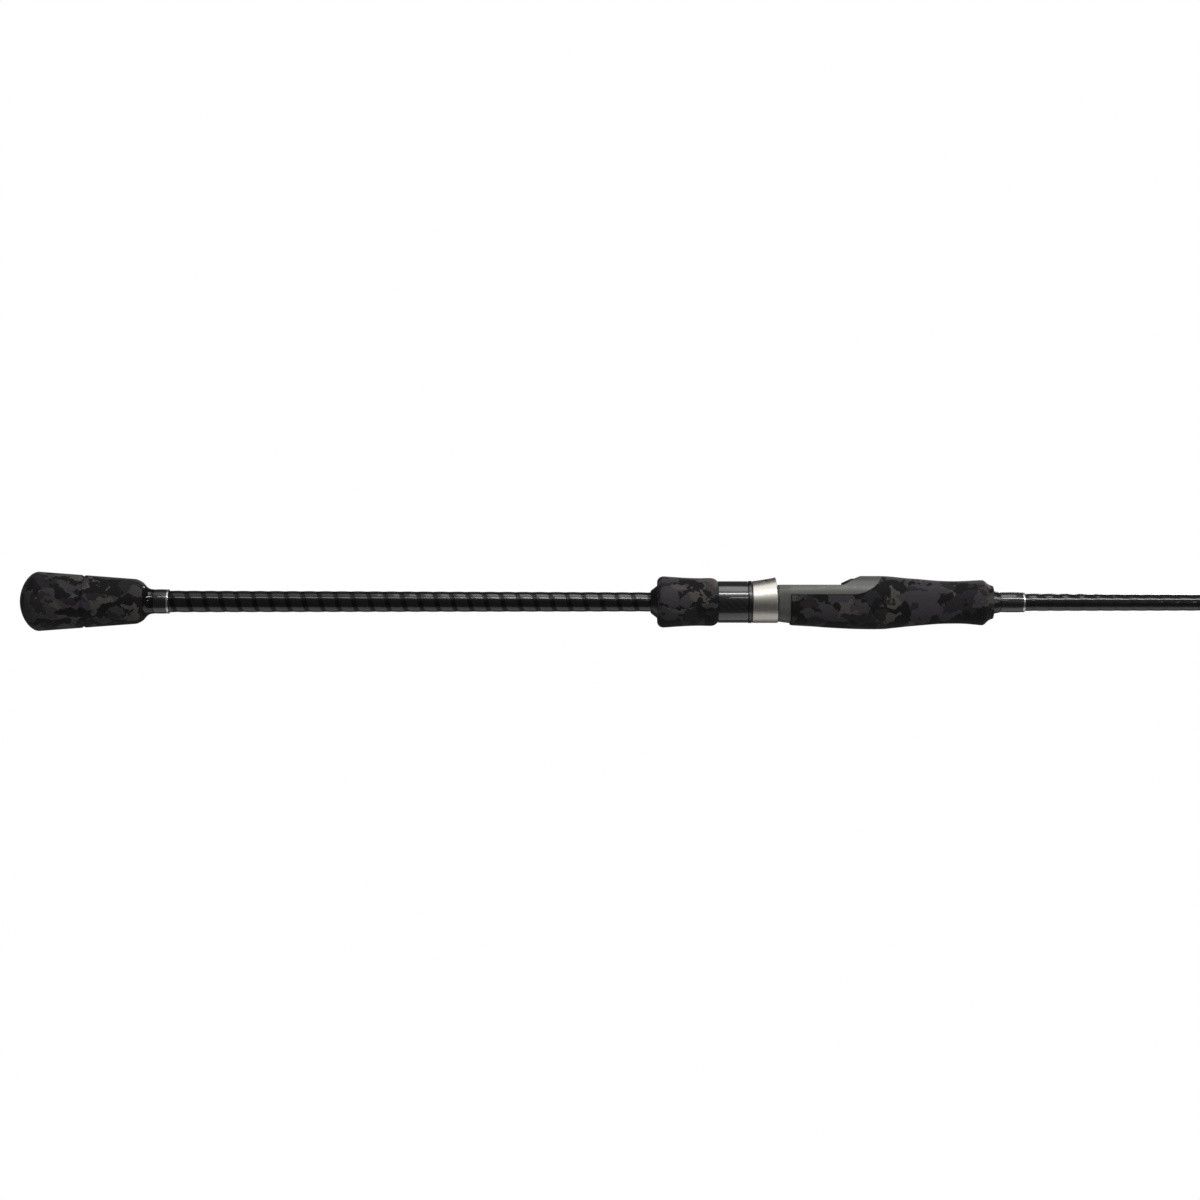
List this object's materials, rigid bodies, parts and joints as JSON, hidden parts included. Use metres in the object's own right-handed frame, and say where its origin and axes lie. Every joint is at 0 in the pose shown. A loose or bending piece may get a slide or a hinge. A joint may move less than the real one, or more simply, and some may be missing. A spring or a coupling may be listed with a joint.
{
  "type": "spinning rod",
  "caption": "One-piece spinning fishing rod: tapered tubular blank, split foam grips, reel seat with a screw-down hood, and ringed line guides along its top.",
  "frame": {"origin": "middle of the flat bed that the reel's foot rests on, between the two hoods", "axes": "+X along the blank towards the tip; +Z out of the bed, on the side of the reel and the guides; +Y across"},
  "size_m": [1.9794, 0.032, 0.0585],
  "materials": {
    "carbon_blank": "clear-coated carbon fibre",
    "camo_foam": "matt moulded camouflage foam",
    "seat_nylon": "satin grey moulded nylon",
    "hood_steel": "circumferentially brushed",
    "dark_aluminium": "dark anodised",
    "carbon_weave": "woven carbon under clear coat",
    "black_nylon": "moulded",
    "black_wrap": "black thread under epoxy",
    "silver_wrap": "silver thread under epoxy",
    "black_ceramic": "polished ceramic",
    "guide_steel": "black-plated stainless steel",
    "arbor_foam": "bonding arbor"
  },
  "bodies": {
    "rod": {"blank": "carbon_blank", "butt_plug": "black_nylon", "butt_grip": "camo_foam", "butt_winding_check": "black_nylon", "butt_wrap": "black_wrap", "butt_trim_band": "silver_wrap", "reel_seat_body": "seat_nylon", "hood_cushion": "black_nylon", "fore_grip": "camo_foam", "rear_arbor": "arbor_foam", "front_arbor": "arbor_foam", "front_winding_check": "dark_aluminium", "front_wrap": "black_wrap", "front_trim_band": "silver_wrap", "guide_1_frame": "guide_steel", "guide_1_ring": "black_ceramic", "guide_1_front_wrap": "black_wrap", "guide_1_rear_wrap": "black_wrap", "guide_2_frame": "guide_steel", "guide_2_ring": "black_ceramic", "guide_2_front_wrap": "black_wrap", "guide_2_rear_wrap": "black_wrap", "guide_3_frame": "guide_steel", "guide_3_ring": "black_ceramic", "guide_3_wrap": "black_wrap", "guide_4_frame": "guide_steel", "guide_4_ring": "black_ceramic", "guide_4_wrap": "black_wrap", "guide_5_frame": "guide_steel", "guide_5_ring": "black_ceramic", "guide_5_wrap": "black_wrap", "guide_6_frame": "guide_steel", "guide_6_ring": "black_ceramic", "guide_6_wrap": "black_wrap", "guide_7_frame": "guide_steel", "guide_7_ring": "black_ceramic", "guide_7_wrap": "black_wrap", "guide_8_frame": "guide_steel", "guide_8_ring": "black_ceramic", "guide_8_wrap": "black_wrap", "tip_top_frame": "guide_steel", "tip_top_ring": "black_ceramic", "tip_wrap": "black_wrap"},
    "movable_hood": {"hood_ring": "hood_steel", "hood_liner": "black_nylon"},
    "lock_nut": {"nut_core": "black_nylon", "nut_carbon_sleeve": "carbon_weave", "nut_trim_ring": "dark_aluminium", "nut_grip": "camo_foam", "nut_end_cap": "dark_aluminium"}
  },
  "joints": [
    {"name": "hood_slide", "type": "slide", "parent": "rod", "child": "movable_hood", "axis": [-1, 0, 0], "range_m": [0, 0.022]},
    {"name": "nut_turn", "type": "hinge", "parent": "movable_hood", "child": "lock_nut", "pos_m": [-0.05, 0, -0.00791], "axis": [-1, 0, 0], "range_deg": [0, 2640]}
  ],
  "couplings": [
    {"joint": "hood_slide", "follows": "nut_turn", "m_per_rad": 0.00047746}
  ]
}
